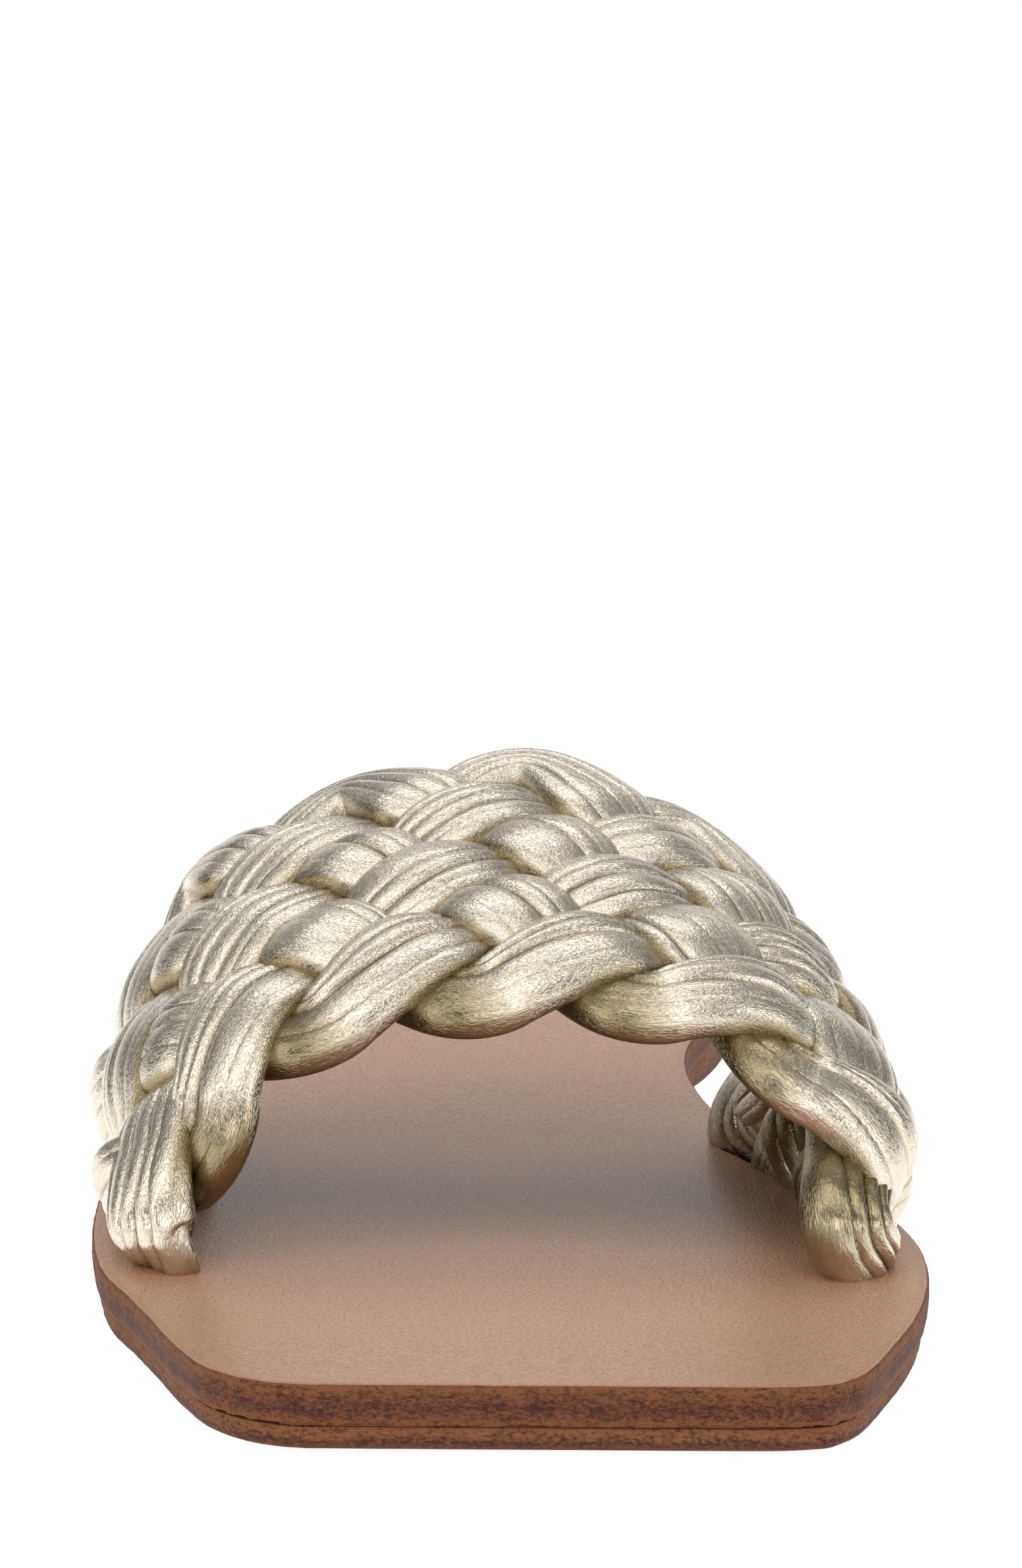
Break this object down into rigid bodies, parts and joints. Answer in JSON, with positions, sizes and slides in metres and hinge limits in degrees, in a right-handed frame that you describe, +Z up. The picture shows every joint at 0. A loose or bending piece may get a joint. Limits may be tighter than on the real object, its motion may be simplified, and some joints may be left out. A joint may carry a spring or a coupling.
{
  "type": "slide sandal",
  "caption": "Flat square-toed slide sandal for the right foot: wide arched strap of braided padded leather strips over a stacked leather sole with a smooth insole",
  "frame": {"origin": "on the floor, under the middle of the bounding box", "axes": "toe to -Y, heel to +Y, big-toe side to +X, +Z up from the floor"},
  "size_m": [0.0962, 0.2558, 0.0535],
  "materials": {
    "sole_leather": "burnished brown leather edge, satin",
    "edge_leather": "burnished red-brown leather edge, mottled, satin",
    "insole_leather": "smooth tan leather with a fine pebble grain, satin",
    "strap_leather": "pale gold metallic foil leather, finely crinkled, soft gloss"
  },
  "bodies": {
    "root": {"outsole": "sole_leather", "midsole": "edge_leather", "insole": "insole_leather", "upper": "strap_leather"}
  },
  "joints": []
}
